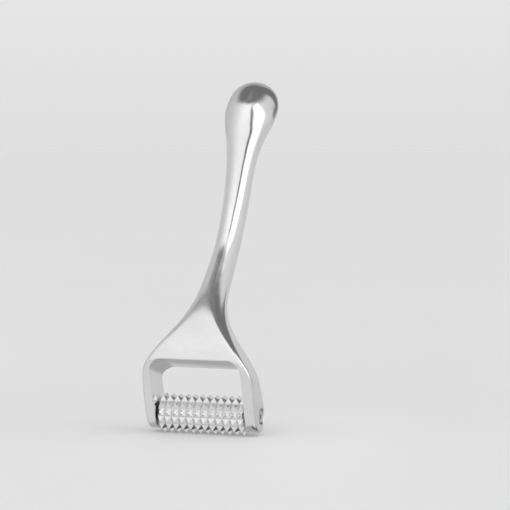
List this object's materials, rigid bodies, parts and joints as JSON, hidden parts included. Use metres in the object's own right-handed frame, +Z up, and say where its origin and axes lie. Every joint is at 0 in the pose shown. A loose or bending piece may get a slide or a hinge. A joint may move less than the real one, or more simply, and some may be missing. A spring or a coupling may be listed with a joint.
{
  "type": "derma roller",
  "caption": "Hand-held metal derma roller: a curved one-piece handle with a bulbous end and a fork that carries a studded drum on ball bearings.",
  "frame": {"origin": "middle of the hand grip, on the handle's centre line, 76 mm above and 32 mm behind the drum's axis", "axes": "+X along the drum's axis towards the right cheek, +Z up with the drum standing on a level surface, so -Y is the front, which the fork leans towards, and +Y is where the handle leans back"},
  "size_m": [0.0464, 0.0876, 0.1409],
  "materials": {
    "satin_alloy": "satin, bead-blasted and lightly polished silver plating on cast zinc alloy",
    "drum_alloy": "bright satin plating with sharp facets",
    "polished_steel": "polished, with fine turning marks",
    "bearing_steel": "ground",
    "shield_steel": "pressed sheet, slightly dull",
    "cage_brass": "pressed brass strip",
    "ball_steel": "mirror polished"
  },
  "bodies": {
    "handle": {"handle_yoke": "satin_alloy", "axle_bolt": "polished_steel", "axle_nut": "polished_steel", "thrust_washer_right": "polished_steel", "thrust_washer_left": "polished_steel", "spacer_tube": "polished_steel", "bearing_right_inner_ring": "bearing_steel", "bearing_left_inner_ring": "bearing_steel"},
    "drum": {"roller_drum": "drum_alloy", "bearing_right_outer_ring": "bearing_steel", "bearing_right_outer_shield": "shield_steel", "bearing_right_inner_shield": "shield_steel", "bearing_left_outer_ring": "bearing_steel", "bearing_left_outer_shield": "shield_steel", "bearing_left_inner_shield": "shield_steel"},
    "right_cage": {"bearing_right_cage": "cage_brass", "bearing_right_ball_1": "ball_steel", "bearing_right_ball_2": "ball_steel", "bearing_right_ball_3": "ball_steel", "bearing_right_ball_4": "ball_steel", "bearing_right_ball_5": "ball_steel", "bearing_right_ball_6": "ball_steel", "bearing_right_ball_7": "ball_steel"},
    "left_cage": {"bearing_left_cage": "cage_brass", "bearing_left_ball_1": "ball_steel", "bearing_left_ball_2": "ball_steel", "bearing_left_ball_3": "ball_steel", "bearing_left_ball_4": "ball_steel", "bearing_left_ball_5": "ball_steel", "bearing_left_ball_6": "ball_steel", "bearing_left_ball_7": "ball_steel"}
  },
  "joints": [
    {"name": "drum_spin", "type": "hinge", "parent": "handle", "child": "drum", "pos_m": [0, -0.032, -0.076], "axis": [1, 0, 0], "continuous": true},
    {"name": "right_cage_spin", "type": "hinge", "parent": "handle", "child": "right_cage", "pos_m": [0, -0.032, -0.076], "axis": [1, 0, 0], "continuous": true},
    {"name": "left_cage_spin", "type": "hinge", "parent": "handle", "child": "left_cage", "pos_m": [0, -0.032, -0.076], "axis": [1, 0, 0], "continuous": true}
  ],
  "couplings": [
    {"joint": "right_cage_spin", "follows": "drum_spin", "ratio": 0.6364},
    {"joint": "left_cage_spin", "follows": "drum_spin", "ratio": 0.6364}
  ]
}
